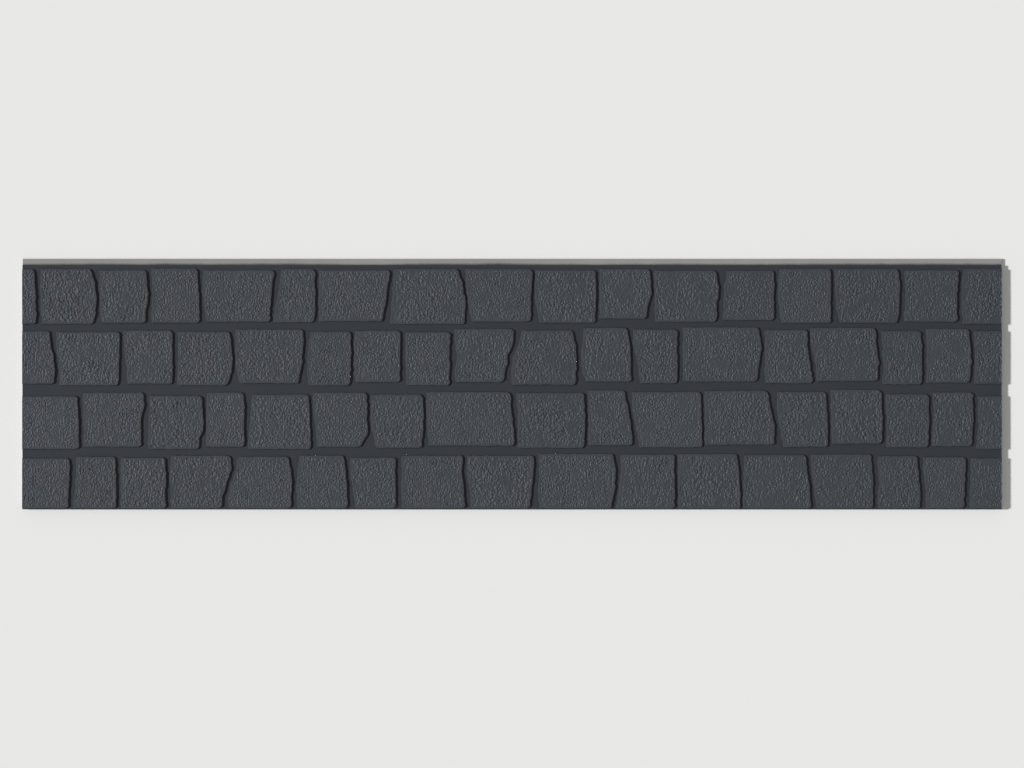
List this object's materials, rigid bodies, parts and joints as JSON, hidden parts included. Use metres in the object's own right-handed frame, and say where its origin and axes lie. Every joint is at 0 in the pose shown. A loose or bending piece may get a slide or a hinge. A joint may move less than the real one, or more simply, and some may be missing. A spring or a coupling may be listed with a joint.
{
  "type": "fibre cement wall panel",
  "caption": "Long flat fibre cement wall panel with a pressed face of squared stones in courses, lapped along its upper and lower edges to cover an outside wall.",
  "frame": {"origin": "middle of the panel's bounding box, on its flat back", "axes": "panel lying on its back: +X along the courses towards the right end as seen from the front, +Y up the wall towards the tongue, +Z out of the stone face"},
  "size_m": [1.818, 0.4654, 0.016],
  "materials": {
    "coated_face": "matte",
    "raw_cement": "matte"
  },
  "bodies": {
    "root": {"panel": "coated_face"}
  },
  "joints": []
}
